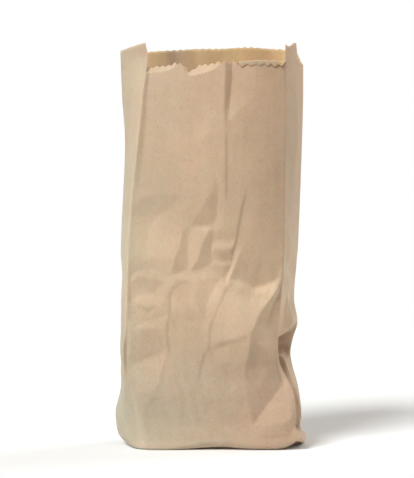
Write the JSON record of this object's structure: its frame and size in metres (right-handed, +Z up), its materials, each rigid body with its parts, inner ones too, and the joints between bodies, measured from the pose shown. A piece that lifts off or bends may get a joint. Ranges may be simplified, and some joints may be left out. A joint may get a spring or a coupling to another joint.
{
  "type": "kraft paper sack",
  "caption": "Tall block-bottom kraft paper sack with opened side gussets, serrated rims and a creased front, standing open and empty.",
  "frame": {"origin": "on the floor under the middle of the sack, in the plane of its flat base", "axes": "+Z up, the front panel with its cut-down rim faces -Y, +X to the right seen from the front"},
  "size_m": [0.157, 0.0997, 0.3341],
  "materials": {
    "kraft_paper": "matt unbleached kraft paper with fine fibres and soft creases"
  },
  "bodies": {
    "root": {"sack": "kraft_paper"}
  },
  "joints": []
}
